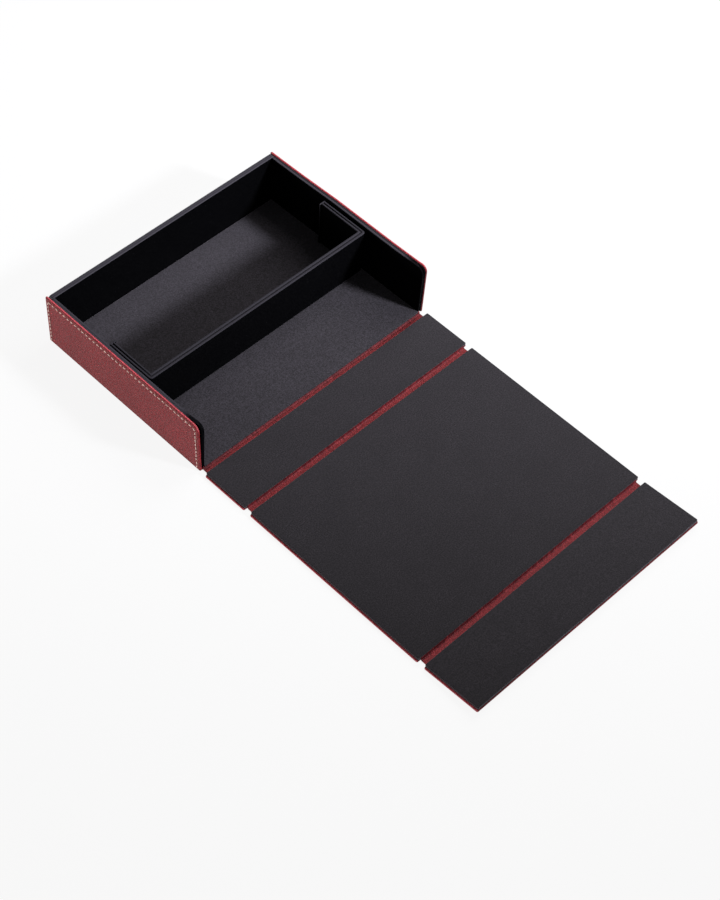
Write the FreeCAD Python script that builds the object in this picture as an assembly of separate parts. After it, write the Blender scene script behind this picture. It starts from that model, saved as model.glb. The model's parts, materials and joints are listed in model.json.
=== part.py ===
"""Fold-out storage box for dice: an open tray, a chain of three flaps and a loose divider.

The frame is in millimetres. +Z is up, the flaps lie towards -Y, and the origin is the centre of the
tray's underside. The box is drawn open, with the flaps laid out flat in front of the tray.
"""
import FreeCAD, Part
import math
import os

os.makedirs("parts", exist_ok=True)

# ---------------------------------------------------------------- driving dimensions

# Tray, outside
outer_width = 228.0              # over both side panels
case_depth = 169.8               # length of a side panel, front to back
case_height = 48.8               # height of a side panel
side_panel_thickness = 1.9
panel_corner_radius = 6.0        # front top corner, seen from the side
panel_edge_round = 0.8           # rounding of the leatherette over the panel's edges

# Tray, inner box
wall_thickness = 3.0
back_wall_thickness = 4.0
wall_top_drop = 0.6              # the walls stop this far below the panels' top edge
wall_front_setback = 0.3         # and this far behind the panels' front edge
back_wall_setback = 1.1          # the panels reach this far behind the back wall
wall_corner_radius = 6.0         # front top corner of a side wall
wrap_thickness = 0.4             # black suede round the boards
wrap_edge_round = 0.5
base_cover_thickness = 1.2
floor_board_thickness = 0.9

# Flaps: a red cover below, and a suede wrapped board on it
flap_cover_thickness = 1.4
flap_board_thickness = 2.2
flap_width_margin = 0.2          # a flap is this much narrower than the case, on each side
cover_side_margin = 0.7          # the red cover shows this much beside the board
cover_far_margin = 0.25          # and this much at the free end of the chain
cover_edge_round = 0.35
flap_corner_radius = 1.2
closing_flap_rest_angle = 4.0    # degrees: the free flap springs up a little when it is laid out

# Where the flaps' edges come to on the closed case
seat_clearance = 0.3             # between a closed flap and what it closes on
front_flap_top_drop = 2.5        # the front flap's edge, below the case's top edge
lid_back_gap = 4.1               # the lid's edge, in front of the case's back edge
closing_flap_foot_height = 1.8   # the closing flap's edge, above the table

# Hinge strips of leatherette, which lie in the gaps between the boards
fold_gap = 6.2
strip_thickness = 1.2
strip_side_inset = 3.3           # the strips are this much narrower than the flaps, on each side
strip_end_clearance = 0.2        # slit between a strip and the flap that turns beside it
front_fold_height = 1.6          # heights of the three fold axes
lid_fold_height = 1.6
closing_fold_height = 2.3

# Closing magnets, one pair in the back wall and one in the closing flap
magnet_radius = 5.0
magnet_thickness = 1.6
magnet_side_inset = 39.0         # from the outside of the case to a magnet's centre
magnet_height = 17.0             # above the table, with the box closed
magnet_clearance = 0.1           # round and under a magnet in its pocket

# Divider: two suede covered boards, bent to a U, with a thinner board between them
divider_front_offset = 60.8      # front of the tray to the divider's front face
divider_reach = 45.2             # depth of the U
divider_top_drop = 2.8           # the divider's top, below the case's top edge
divider_wall_thickness = 4.7
divider_leg_thickness = 4.0
divider_core_thickness = 0.9
divider_core_setback = 1.5       # the core's edge lies this far below the top edge
divider_side_clearance = 1.2     # between a leg and the side wall
divider_floor_clearance = 0.3
divider_corner_radius = 4.5
divider_end_thickness = 1.2      # the outer board turns in round the end of each leg
divider_lip = 1.3                # and stands this far past the leg's inner face

# Stitching round three edges of each side panel
stitch_inset = 3.1
stitch_pitch = 4.2
stitch_length = 2.8
stitch_width = 0.8

tolerance = 1e-6                 # for telling which points lie on a face
round_limit = 0.45               # a rounding is at most this share of the wall it is on

# ---------------------------------------------------------------- places worked out from them

front_y = -case_depth / 2
back_y = case_depth / 2
panel_outer_x = outer_width / 2
panel_inner_x = panel_outer_x - side_panel_thickness
wall_inner_x = panel_inner_x - wall_thickness
wall_top_z = case_height - wall_top_drop
back_wall_outer_y = back_y - back_wall_setback
back_wall_inner_y = back_wall_outer_y - back_wall_thickness
floor_board_top_z = base_cover_thickness + floor_board_thickness
floor_top_z = floor_board_top_z + wrap_thickness
magnet_x = panel_outer_x - magnet_side_inset

flap_half_width = panel_outer_x - flap_width_margin
flap_board_top_z = flap_cover_thickness + flap_board_thickness
flap_thickness = flap_board_top_z + wrap_thickness

# A fold turns its flap by a quarter turn, which takes -Y to +Z and +Z to +Y. Each axis is placed so
# that the closed flap's suede face ends at the seat clearance from the edges that it closes on, and
# each flap is as long as its closed place asks.
front_fold_y = front_y - seat_clearance - flap_thickness + front_fold_height
front_flap_near_y = front_y - fold_gap
front_flap_root_z = front_fold_height + front_fold_y - front_flap_near_y
front_flap_far_y = front_flap_near_y - (case_height - front_flap_top_drop - front_flap_root_z)

lid_top_z = case_height + seat_clearance + flap_thickness
lid_fold_y = front_fold_y + front_fold_height - lid_top_z + lid_fold_height
lid_near_y = front_flap_far_y - fold_gap
closed_lid_shift = front_fold_y - front_fold_height + lid_fold_y + lid_fold_height
lid_root_y = closed_lid_shift - lid_near_y
lid_far_y = lid_near_y - (back_y - lid_back_gap - lid_root_y)

closing_fold_y = closed_lid_shift - back_y - seat_clearance - flap_thickness + closing_fold_height
closing_flap_near_y = lid_far_y - fold_gap
closing_flap_root_z = lid_top_z - closing_fold_height - closing_fold_y + closing_flap_near_y
closing_flap_far_y = closing_flap_near_y - (closing_flap_root_z - closing_flap_foot_height)
closing_magnet_y = closing_flap_near_y - (closing_flap_root_z - magnet_height)


# ---------------------------------------------------------------- helpers

def vector(x, y, z):
    return FreeCAD.Vector(x, y, z)


x_axis = vector(1, 0, 0)
y_axis = vector(0, 1, 0)
z_axis = vector(0, 0, 1)


def block(x0, x1, y0, y1, z0, z1):
    """Box between two corners."""
    corner = vector(min(x0, x1), min(y0, y1), min(z0, z1))
    return Part.makeBox(abs(x1 - x0), abs(y1 - y0), abs(z1 - z0), corner)


def edges_along(shape, axis):
    """Straight edges that run along an axis."""
    lines = [edge for edge in shape.Edges if isinstance(edge.Curve, Part.Line)]
    return [edge for edge in lines if edge.Curve.Direction.cross(axis).Length < tolerance]


def edges_where(edges, test):
    """The edges whose ends all pass the test."""
    return [edge for edge in edges if all(test(vertex.Point) for vertex in edge.Vertexes)]


def limited(radius, wall):
    """A rounding's radius, no larger than its wall allows."""
    return min(radius, round_limit * wall)


def standing_board(x0, x1, y0, y1, z0, z1, radius):
    """Board in a YZ plane, with its front top corner (low Y, high Z) rounded."""
    board = block(x0, x1, y0, y1, z0, z1)
    across = edges_along(board, x_axis)
    corner = edges_where(across, lambda p: p.y < y0 + tolerance and p.z > z1 - tolerance)
    return board.makeFillet(radius, corner)


def lying_board(half_width, near_y, far_y, z0, z1):
    """Board of a flap, with its four upright edges rounded."""
    board = block(-half_width, half_width, near_y, far_y, z0, z1)
    return board.makeFillet(flap_corner_radius, edges_along(board, z_axis))


def disc_pair(y, z, direction, clearance):
    """Two round discs, one on each side of the middle, grown from (y, z) along a direction."""
    radius = magnet_radius + clearance
    depth = magnet_thickness + clearance
    return Part.Compound([
        Part.makeCylinder(radius, depth, vector(x, y, z), direction) for x in (-magnet_x, magnet_x)
    ])


def mirrored(shape):
    """The same piece on the other side of the case."""
    return shape.mirror(vector(0, 0, 0), x_axis)


def export(shape, node):
    shape.exportStep("parts/" + node + ".step")


# ---------------------------------------------------------------- tray

def side_panel():
    """Right side panel: a covered board, rounded along every edge but those at its foot."""
    panel = standing_board(
        panel_inner_x, panel_outer_x, front_y, back_y, 0, case_height, panel_corner_radius,
    )
    foot = edges_where(panel.Edges, lambda p: p.z < tolerance)
    open_edges = [edge for edge in panel.Edges if not any(edge.isSame(other) for other in foot)]
    return panel.makeFillet(limited(panel_edge_round, side_panel_thickness), open_edges)


def stitch(y, z, angle):
    """Half cylinder of thread lying on the panel, centred at (y, z) and turned by angle in YZ."""
    start = vector(0, -stitch_length / 2, 0)
    thread = Part.makeCylinder(stitch_width / 2, stitch_length, start, y_axis)
    outside = block(0, stitch_width, -stitch_length, stitch_length, -stitch_width, stitch_width)
    half = thread.common(outside).Solids[0]
    half.rotate(vector(0, 0, 0), x_axis, angle)
    half.translate(vector(panel_outer_x, y, z))
    return half


def stitch_row(start, end, angle):
    """Evenly spaced stitches from start to end, both (y, z)."""
    count = max(1, int(math.dist(start, end) / stitch_pitch))
    shares = [(number + 0.5) / count for number in range(count)]
    return [
        stitch(start[0] + (end[0] - start[0]) * share, start[1] + (end[1] - start[1]) * share, angle)
        for share in shares
    ]


def stitching():
    """Stitches on the right panel's outer face: up its back edge, along its top and down its front."""
    line_front = front_y + stitch_inset
    line_back = back_y - stitch_inset
    line_top = case_height - stitch_inset
    bend = max(panel_corner_radius - stitch_inset, 0)
    bend_offset = bend * (1 - math.sqrt(0.5))
    rows = stitch_row((line_back, stitch_inset), (line_back, line_top), 90)
    rows += stitch_row((line_back, line_top), (line_front + bend, line_top), 0)
    rows += [stitch(line_front + bend_offset, line_top - bend_offset, 45)]
    rows += stitch_row((line_front, line_top - bend), (line_front, stitch_inset), 90)
    return Part.Compound(rows)


def side_wall():
    """Right inner wall as (core, wrap)."""
    x0, x1 = wall_inner_x, panel_inner_x
    y0, y1 = front_y + wall_front_setback, back_wall_inner_y
    z0, z1 = base_cover_thickness, wall_top_z
    skin = wrap_thickness
    whole = standing_board(x0, x1, y0, y1, z0, z1, wall_corner_radius)
    core = standing_board(x0 + skin, x1 - skin, y0 + skin, y1, z0, z1 - skin, wall_corner_radius - skin)
    top = edges_where(edges_along(whole, y_axis), lambda p: p.z > z1 - tolerance)
    return core, whole.makeFillet(limited(wrap_edge_round, wall_thickness), top).cut(core)


def back_wall():
    """Back wall as (core, wrap, magnets). The magnets sit in the core's outer face."""
    y0, y1 = back_wall_inner_y, back_wall_outer_y
    z0, z1 = base_cover_thickness, wall_top_z
    skin = wrap_thickness
    whole = block(-panel_inner_x, panel_inner_x, y0, y1, z0, z1)
    top = edges_where(edges_along(whole, x_axis), lambda p: p.z > z1 - tolerance)
    whole = whole.makeFillet(limited(wrap_edge_round, back_wall_thickness), top)
    core = block(-panel_inner_x + skin, panel_inner_x - skin, y0 + skin, y1 - skin, z0, z1 - skin)
    pockets = disc_pair(y1 - skin, magnet_height, -y_axis, magnet_clearance)
    magnets = disc_pair(y1 - skin, magnet_height, -y_axis, 0)
    return core.cut(pockets), whole.cut(core), magnets


def tray_floor():
    """Floor as (base cover, board, lining). The lining turns down over the board's front edge."""
    x0, x1 = -wall_inner_x, wall_inner_x
    board_front = front_y + wrap_thickness
    cover = block(-panel_inner_x, panel_inner_x, front_y, back_y, 0, base_cover_thickness)
    board = block(x0, x1, board_front, back_wall_inner_y, base_cover_thickness, floor_board_top_z)
    lining = block(x0, x1, front_y, back_wall_inner_y, base_cover_thickness, floor_top_z)
    return cover, board, lining.cut(board)


def build_tray():
    core, wrap = side_wall()
    sides = {"side_panel": side_panel(), "stitching": stitching(), "wall_core": core, "wall_wrap": wrap}
    for name, shape in sides.items():
        export(shape, "right_" + name)
        export(mirrored(shape), "left_" + name)

    cover, board, lining = tray_floor()
    export(cover, "base_cover")
    export(board, "floor_board")
    export(lining, "floor_lining")

    core, wrap, magnets = back_wall()
    export(core, "back_wall_core")
    export(wrap, "back_wall_wrap")
    export(magnets, "back_wall_magnets")


# ---------------------------------------------------------------- flaps and hinge strips

def hinge_strip(near_y):
    """Strip that fills one fold gap, from the edge it is fixed to at near_y."""
    half_width = flap_half_width - strip_side_inset
    far_y = near_y - fold_gap + strip_end_clearance
    return block(-half_width, half_width, near_y, far_y, 0, strip_thickness)


def flap(near_y, far_y, far_margin):
    """One flap lying flat, as (cover, core, lining)."""
    board_half_width = flap_half_width - cover_side_margin
    core_half_width = board_half_width - wrap_thickness
    cover = lying_board(flap_half_width, near_y, far_y - far_margin, 0, flap_cover_thickness)
    underside = edges_where(cover.Edges, lambda p: p.z < tolerance)
    cover = cover.makeFillet(limited(cover_edge_round, flap_cover_thickness), underside)
    wrapped = lying_board(board_half_width, near_y, far_y, flap_cover_thickness, flap_thickness)
    top = edges_where(wrapped.Edges, lambda p: p.z > flap_thickness - tolerance)
    wrapped = wrapped.makeFillet(limited(wrap_edge_round, flap_board_thickness), top)
    core = block(
        -core_half_width, core_half_width, near_y - wrap_thickness, far_y + wrap_thickness,
        flap_cover_thickness, flap_board_top_z,
    )
    return cover, core, wrapped.cut(core)


def closing_flap():
    """The free flap as (cover, core, lining, magnets), before it springs up."""
    cover, core, lining = flap(closing_flap_near_y, closing_flap_far_y, cover_far_margin)
    pockets = disc_pair(closing_magnet_y, flap_board_top_z, -z_axis, magnet_clearance)
    magnets = disc_pair(closing_magnet_y, flap_board_top_z, -z_axis, 0)
    return cover, core.cut(pockets), lining, magnets


def build_flaps():
    export(hinge_strip(front_y), "front_hinge_strip")
    export(hinge_strip(front_flap_far_y), "lid_hinge_strip")
    export(hinge_strip(lid_far_y), "closing_hinge_strip")

    front_flap = flap(front_flap_near_y, front_flap_far_y, 0)
    lid = flap(lid_near_y, lid_far_y, 0)
    for name, pieces in (("front_flap", front_flap), ("lid", lid)):
        cover, core, lining = pieces
        export(cover, name + "_cover")
        export(core, name + "_core")
        export(lining, name + "_lining")

    closing_fold = vector(0, closing_fold_y, closing_fold_height)
    names = ("closing_flap_cover", "closing_flap_core", "closing_flap_lining", "closing_flap_magnets")
    for name, piece in zip(names, closing_flap()):
        piece.rotate(closing_fold, -x_axis, closing_flap_rest_angle)
        export(piece, name)


# ---------------------------------------------------------------- divider

def divider_layer(side_inset, wall_inset, end_y, top_z):
    """Outline of one layer of the divider, inset from its outer faces, with two rounded corners."""
    half_width = wall_inner_x - divider_side_clearance - side_inset
    face_y = front_y + divider_front_offset + wall_inset
    layer = block(-half_width, half_width, face_y, end_y, floor_top_z + divider_floor_clearance, top_z)
    corners = edges_where(edges_along(layer, z_axis), lambda p: p.y < face_y + tolerance)
    radius = divider_corner_radius - side_inset
    return layer.makeFillet(radius, corners) if radius > tolerance else layer


def build_divider():
    top_z = case_height - divider_top_drop
    end_y = front_y + divider_front_offset + divider_reach
    flange_y = end_y - divider_end_thickness
    leg_skin = (divider_leg_thickness - divider_core_thickness) / 2
    wall_skin = (divider_wall_thickness - divider_core_thickness) / 2
    core_leg_inset = leg_skin + divider_core_thickness
    core_wall_inset = wall_skin + divider_core_thickness
    mouth_inset = divider_leg_thickness + divider_lip

    outside = divider_layer(0, 0, end_y, top_z)
    slot = divider_layer(leg_skin, wall_skin, flange_y, top_z)
    low_slot = divider_layer(leg_skin, wall_skin, flange_y, top_z - divider_core_setback)
    inner = divider_layer(core_leg_inset, core_wall_inset, flange_y, top_z)
    space = divider_layer(divider_leg_thickness, divider_wall_thickness, flange_y, top_z)
    mouth = divider_layer(mouth_inset, divider_wall_thickness, end_y, top_z)

    export(outside.cut(slot).cut(mouth), "divider_outer_board")
    export(low_slot.cut(inner), "divider_core")
    export(inner.cut(space), "divider_inner_board")


# ---------------------------------------------------------------- build

build_tray()
build_flaps()
build_divider()

print("front fold axis", round(front_fold_y, 3), round(front_fold_height, 3))
print("lid fold axis", round(lid_fold_y, 3), round(lid_fold_height, 3))
print("closing fold axis", round(closing_fold_y, 3), round(closing_fold_height, 3))
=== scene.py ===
"""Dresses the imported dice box: leatherette, suede, thread, the folds' leather, floor, light and camera."""
import json
import math
import random

import bpy
import numpy as np
from mathutils import Matrix, Vector, noise


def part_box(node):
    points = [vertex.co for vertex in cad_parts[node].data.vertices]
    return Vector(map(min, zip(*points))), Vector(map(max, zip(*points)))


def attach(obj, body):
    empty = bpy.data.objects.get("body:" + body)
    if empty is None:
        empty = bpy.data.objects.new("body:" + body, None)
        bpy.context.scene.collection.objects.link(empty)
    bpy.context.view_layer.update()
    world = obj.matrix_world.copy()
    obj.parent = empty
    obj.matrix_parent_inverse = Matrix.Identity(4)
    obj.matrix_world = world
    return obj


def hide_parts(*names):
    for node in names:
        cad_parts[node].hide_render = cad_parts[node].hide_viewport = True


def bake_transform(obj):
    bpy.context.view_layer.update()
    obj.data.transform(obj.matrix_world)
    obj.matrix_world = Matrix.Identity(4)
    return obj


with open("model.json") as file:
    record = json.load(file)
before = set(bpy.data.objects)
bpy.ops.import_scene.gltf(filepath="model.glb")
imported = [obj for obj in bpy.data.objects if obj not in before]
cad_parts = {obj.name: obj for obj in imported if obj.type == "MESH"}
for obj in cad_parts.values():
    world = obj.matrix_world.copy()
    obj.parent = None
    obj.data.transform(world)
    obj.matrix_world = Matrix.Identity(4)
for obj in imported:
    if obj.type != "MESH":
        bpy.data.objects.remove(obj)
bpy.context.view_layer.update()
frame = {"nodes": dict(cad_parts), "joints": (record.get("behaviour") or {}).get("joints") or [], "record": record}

MM = 0.001                       # every shape below is worked out in millimetres
X, Y, Z = Vector((1, 0, 0)), Vector((0, 1, 0)), Vector((0, 0, 1))

# ------------------------------ values that the frame doesn't give

# Side panels and their stitching
FACE_ROUND = 1.1                 # rounding of a side panel's edges
PANEL_BACK_ROUND = 0.7           # the same on its inner side
PANEL_CORNER = 6.0               # front top corner of a side panel and of a side wall
PANEL_BACK_CORNER = 1.3
PANEL_FOOT_CORNER = 1.0
STITCH_INSET = 3.1               # from a panel's edge to its seam
STITCH_PITCH = 4.2
STITCH_LENGTH = 2.35
STITCH_SLANT = 4                 # degrees that every stitch is turned out of the seam's line
STITCH_TURN = 5                  # further degrees, more or less, by chance
STITCH_SHIFT = 0.1               # more or less, by chance
STITCH_STRETCH = (0.93, 1.06)    # least and greatest length, as a share of STITCH_LENGTH
STITCH_BOW = 0.12                # how far a stitch stands out in its middle
STITCH_SINK = 0.45               # and how far its ends go into the holes
THREAD_RADIUS = 0.6
THREAD_TAPER = (0.55, 0.85, 1.0)  # share of the radius at a thread's end, at its next point, and beyond
THREAD_PLY = 0.06                # height of the two plies, as a share of the radius
THREAD_TWIST = 0.55              # radians that the plies turn from one point to the next
SEAM_PRESS, SEAM_REACH = 0.12, 0.75  # depth and half width of the trough that the stitches press in
SEAM_END = 2.0                   # the seam ends this far above the panel's foot
PUCKER_PRESS = 0.28              # further depth at a stitch's hole
PUCKER_SPREAD = 0.6              # square millimetres
PUCKER_SHADE = 0.75
SWELL, SWELL_REACH = 0.12, 5.0   # how far the panel's middle stands out, and how soon
PANEL_WAVES = ((14.0, 0.10, 3.0), (3.5, 0.05, 9.0))  # size, height, and the left panel's place in the noise
EDGE_LIGHT_AND_SHADE = {"left": (1.0, 1.3, 0.0), "right": (0.45, 1.7, 0.9)}   # painted highlight on each panel's top edge and painted shade on its ends, for each panel
INNER_HIGHLIGHT, INNER_HIGHLIGHT_DEPTH = 0.45, 0.6  # share of the painted highlight this near to a panel's inner side

# Walls and floor
WALL_LAYER = 1.3                 # the side wall's layer against the side panel
WALL_EDGE = 0.7                  # a side wall's corners, apart from its front top one
WALL_INNER_CORNER = 7.5
WALL_INNER_INSET = 0.3
WALL_WAVE = 0.12                 # height of a side or back wall's unevenness
BOARD_CORNER = 9.0               # front top corner of the board inside a side wall
BOARD_EDGE = 0.5                 # its other corners
BACK_WALL_EXTRA = 0.3            # the photographed back wall is this much thicker than its node
BACK_WALL_CORNERS = (0.7, 0.7, 1.2, 3.0)  # left foot, right foot, right top and left top
BACK_WALL_GROOVES = ((1.35, 0.14, 0.25), (2.7, 0.14, 0.25))  # place, depth and half width
FLOOR_CORNER = 0.6
FLOOR_WAVE = 0.10
RELIEF_SIZE, RELIEF_FADE = 30.0, 3.0  # a board's unevenness: its wavelength, and how far in it is full
RIM_DEPTH, BACK_RIM_DEPTH = 0.5, 0.55  # how far down a rim's painted light reaches
RIM_LIGHT_ZONE = (-72.0, -64.0)   # y from which a side wall's rim gets painted light, and where that is full
LEAST_RIM_LIGHT = 0.1             # in front of there
RIGHT_OUTER_LIGHT = 0.45          # the right wall's outer layer gets less painted light
# painted light on the floor towards its back: its most, and y at which it begins and is full
FLOOR_LIGHT, FLOOR_LIGHT_ZONE = 0.1, (32.0, 52.0)

# Flaps and folds
FOLD_GAP = 6.2                   # from one flap to the next
CLOSING_FLAP_LENGTH = 48.9
CLOSING_FLAP_EXTRA = 0.5         # the photographed flap reaches this much past its board
FLAP_SIDE_EXTRA = 0.75           # and every flap this much past its own at each side
CLOSING_REST_ANGLE = 4.0         # degrees
FLAP_THICKNESS = 4.0
COVER_THICKNESS = 1.4
COVER_SIDE_MARGIN = 0.85
COVER_FAR_MARGIN = 0.55
COVER_CORNER = 1.2
COVER_WAVE = 0.12
COVER_EDGE_SHADE = 0.6
LINING_CORNER = 0.7
LINING_SHIFT = 0.3               # the flap linings are glued slightly off centre
LINING_WAVE_SIZE, LINING_WAVE = 45.0, 0.16
LINING_WAVE_FADE = 4.0           # where the unevenness is full
LINING_GROOVE = (0.9, 0.08, 0.2)  # place, depth and half width
TURNED_SEAM, TURNED_SEAM_REACH = 2.0, 0.3   # where the turned-over edge ends, and its half width
TURNED_SEAM_PRESS, TURNED_SEAM_SHADE = 0.03, 0.12
LINING_RIM = 2.4                 # width of the rim that falls off and is darkened with painted shade
LINING_RIM_FALL, LINING_RIM_SHADE = 0.1, 0.5
SKIN_THICKNESS = 0.65            # leatherette in the fold gaps
SKIN_COLUMNS = 190
SKIN_WAVES = ((6.0, 0.07), (2.2, 0.03))  # size and height
SKIN_SIDEWAYS = 0.3              # share of this unevenness that also goes sideways
SKIN_LEAST_HEIGHT = 0.04         # so that it stays above the table
SKIN_SHADE_END = 0.4             # from the previous board's edge, where its painted shade is full
SKIN_SHADE_WAVE = (2.2, 0.6)     # size and share of the painted shade's unevenness
SKIN_CLIMB_REACH = 1.2           # how far from the previous board the skin counts as its climb
SKIN_CLIMB_ZONE = (0.5, 1.0)     # height at which the climb's own painted shade begins and is full
SKIN_FAR_ZONE = (1.3, 0.3)       # from the next flap, where its painted shade begins and is full
SKIN_FAR_SHADE = 0.5

# Divider
DIVIDER_CORNER = 2.4             # radius of its bends outside
DIVIDER_SEAM_CORNER = 1.2        # between the outer board and the seam
DIVIDER_BACK_CORNER = 0.9        # between the seam and the inner board
DIVIDER_INNER_CORNER = 0.5
DIVIDER_CORE = 0.9               # thickness of the board in the seam
DIVIDER_FLANGE = 1.2             # the inner board's turned ends
DIVIDER_LEG_INNER = 103.9        # from the middle to a leg's inner face
DIVIDER_WALL_INNER = -19.4
DIVIDER_LIP = 102.6              # from the middle to the end of a turned end
DIVIDER_GAP = 0.05               # between a leg's end and the turned end
DIVIDER_LIP_STEP = 0.1           # the turned ends are this much lower and narrower
DIVIDER_CROWN, DIVIDER_LIP_CROWN, DIVIDER_SEAM_CROWN = 0.65, 0.5, 0.1  # rounding of the top edges
DIVIDER_SEAM_FILL = 1.0          # how far the seam is filled above its core along the wall
DIVIDER_WALL_END = -10.0         # y of everything that belongs to the wall lies below this
# painted light on the divider's top rims, and on its seam's sides
DIVIDER_RIM_LIGHT = 0.68
DIVIDER_SEAM_LIGHT = 0.33

# How the photographed box stands off its straight solids
SPLAY = (                        # y, and how far the right side stands out there at its top
    (-85.0, 3.4), (-76.0, 2.6), (-50.0, 2.1), (12.0, 2.0),
    (46.0, 0.9), (66.0, 0.5), (80.0, 0.35), (85.0, 0.3),
)
SPLAY_ZONE = (95.0, 109.0)       # x at which the splay begins and is full
SPLAY_HEIGHT = 48.8              # where it is full
SPLAY_AT_FOOT = 0.4              # its share at the foot
FRONT_SLOPE = 1.0                # how far the left panel's front edge slopes back over FRONT_HEIGHT
FRONT_FOOT = 0.3                 # how far forward its foot stands
FRONT_CURL = 1.3                 # how far the left wall's front edge curls inwards at FRONT_HEIGHT
FRONT_HEIGHT = 44.0
SLOPE_ZONE = (-60.0, -80.0)      # y at which the slope begins and is full
CURL_ZONE = (-66.0, -82.0)       # y at which the curl begins and is full
DIVIDER_LEAN = 1.9               # how far the divider's wall leans forward at its top
DIVIDER_LEAN_ZONE = (10.0, -15.0)    # y at which that begins and is full
DIVIDER_LEG_SHIFT = (0.8, 1.2)   # how far its left and right legs stand to the right of their nodes
DIVIDER_LEG_ZONE = (85.0, 100.0)  # distance from the middle at which that begins and is full

# Floor, light and camera
FILL_STRENGTH = 0.19             # of the white world
FLOOR_WHITE = 0.9                # share of plain white in what the camera sees of the floor
FLOOR_SIZE = 60                  # metres, so that low views still end on it
FLOOR_DROP = 0.0002              # metres below the part
CAMERA_PLACE = (-0.70189, -0.78354, 1.20133)  # metres
CAMERA_AZIMUTH = -47.27          # this and the next two in degrees
CAMERA_ELEVATION = 52.11
CAMERA_ROLL = 3.64
CAMERA_LENS = 83.42              # mm, for CAMERA_SENSOR along the picture's long side
CAMERA_SENSOR = 36

# Meshes
SHARP_ANGLE = 38                 # degrees between two faces from which their edge is shaded sharp
EDGE_ARC = 5                     # steps in each quarter round of a board's edge
CROWN_ARC = 6                    # the same at the top of the divider's boards
BEND_ARC = 8                     # the same in the divider's bends
THREAD_SIDES = 10
THREAD_HALF_STEPS = 5            # steps from a stitch's middle to its end
PATH_ROUNDS = 2                  # of corner cutting
SEED = 11                        # of the stitches' turns and shifts


# ------------------------------ mesh helpers

def span(node):
    """Lowest and highest corner of a CAD node at rest, in millimetres."""
    low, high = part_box(node)
    return low / MM, high / MM


def share_of(value, start, end):
    """How far the value has come from start to end: 0 before start, 1 past end."""
    return min(1.0, max(0.0, (value - start) / (end - start)))


def mesh_piece(name, points, faces, material, *, replaces, slot, body=None, attributes=None):
    """A mesh object from points in millimetres, standing for CAD nodes, on a body where one is given."""
    mesh = bpy.data.meshes.new(name)
    mesh.from_pydata([tuple(value * MM for value in point) for point in points], [], faces)
    mesh.validate()
    mesh.shade_smooth()
    mesh.set_sharp_from_angle(angle=math.radians(SHARP_ANGLE))
    for label, values in (attributes or {}).items():
        attribute = mesh.attributes.new(label, "FLOAT", "POINT")
        attribute.data.foreach_set("value", np.asarray(values, np.float32))
    mesh.materials.append(material)
    piece = bpy.data.objects.new(name, mesh)
    bpy.context.scene.collection.objects.link(piece)
    if body:
        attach(piece, body)
    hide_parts(*replaces)
    return piece


def wave(point, size, height):
    """Smooth unevenness at one point, of that wavelength and height in millimetres."""
    return height * noise.noise(Vector(point) / size)


def side_lines(length, step, edge_steps):
    """Grid lines along one side of a board: set distances near both ends, even steps between."""
    near = [0.0, *edge_steps]
    far = [length - value for value in reversed(near)]
    count = max(1, round((far[0] - near[-1]) / step))
    middle = [near[-1] + (far[0] - near[-1]) * k / count for k in range(1, count)]
    return near + middle + far


def plan_point(u, v, size, radii, inset):
    """A grid point of a board's face once its corners are rounded and its edge is inset.

    Returns its place, the outward direction of the outline there, and its distance from the outline.
    """
    low_u, low_v = u <= size[0] / 2, v <= size[1] / 2
    radius = radii[(0 if low_v else 3) if low_u else (1 if low_v else 2)]
    du = u if low_u else size[0] - u
    dv = v if low_v else size[1] - v
    reach = radius - inset

    def shifted(distance):
        return distance if distance >= radius else radius - reach * (1 - distance / radius)

    if du < radius and dv < radius:
        a, b = 1 - du / radius, 1 - dv / radius
        out_u = a * math.sqrt(1 - b * b / 2)
        out_v = b * math.sqrt(1 - a * a / 2)
        x, y = radius - reach * out_u, radius - reach * out_v
        length = math.hypot(out_u, out_v) or 1.0
        normal = (-out_u / length, -out_v / length)
        depth = radius - reach * length if out_u or out_v else radius
    else:
        x, y = shifted(du), shifted(dv)
        normal = (-1.0, 0.0) if du < dv else (0.0, -1.0)
        depth = min(x, y)
    sign_u, sign_v = (1 if low_u else -1), (1 if low_v else -1)
    place = (x if low_u else size[0] - x, y if low_v else size[1] - y)
    return place, (normal[0] * sign_u, normal[1] * sign_v), depth


def edge_rings(thickness, face_round, back_round, grooves):
    """Rings round a board's edge from its face to its back, as (outward offset, w, in a groove)."""
    rings = []
    for k in range(1, EDGE_ARC + 1):
        angle = math.pi / 2 * k / EDGE_ARC
        rings.append((face_round * math.sin(angle), thickness - face_round * (1 - math.cos(angle)), False))
    for w, depth, half_width in sorted(grooves, reverse=True):
        rings.append((face_round, w + half_width, False))
        rings.append((face_round - depth, w, True))
        rings.append((face_round, w - half_width, False))
    for k in range(EDGE_ARC + 1):
        angle = math.pi / 2 * k / EDGE_ARC
        offset = face_round - back_round * (1 - math.cos(angle))
        rings.append((offset, back_round * (1 - math.sin(angle)), False))
    return rings


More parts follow.
